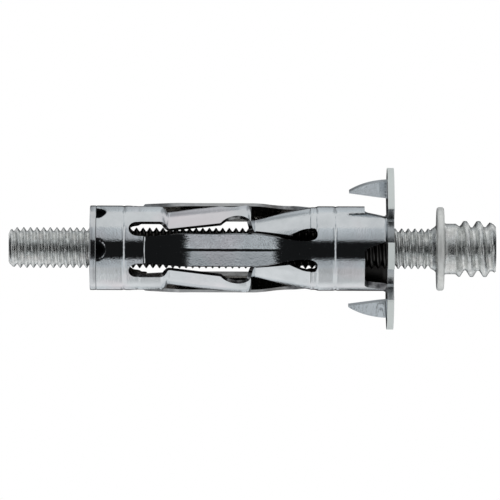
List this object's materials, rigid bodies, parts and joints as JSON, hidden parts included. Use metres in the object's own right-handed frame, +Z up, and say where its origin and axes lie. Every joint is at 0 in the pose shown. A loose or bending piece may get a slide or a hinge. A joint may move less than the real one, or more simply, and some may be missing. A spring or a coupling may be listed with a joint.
{
  "type": "metal hollow wall anchor",
  "caption": "Slotted sheet-metal hollow wall anchor with clawed flange, captive threaded nut and a stud that ends in a collar and a coarse clip thread.",
  "frame": {"origin": "on the anchor's axis, in the plane of the flange's face that bears on the wall", "axes": "+X along the anchor's axis out of the wall into the room, -X into the cavity, +Z up, a flat leg facing -Y"},
  "size_m": [0.0588, 0.0194, 0.0194],
  "materials": {
    "sleeve_zinc": "bright zinc plate on folded sheet steel",
    "nut_zinc": "bright zinc plate on turned steel",
    "stud_zinc": "dull zinc plate on cold-rolled steel"
  },
  "bodies": {
    "anchor": {"sleeve": "sleeve_zinc", "nut": "nut_zinc"},
    "stud": {"screw": "stud_zinc"}
  },
  "joints": [
    {"name": "screw_turn", "type": "hinge", "parent": "anchor", "child": "stud", "pos_m": [0, 0, 0], "axis": [1, 0, 0], "range_deg": [-2340, 6300]}
  ]
}
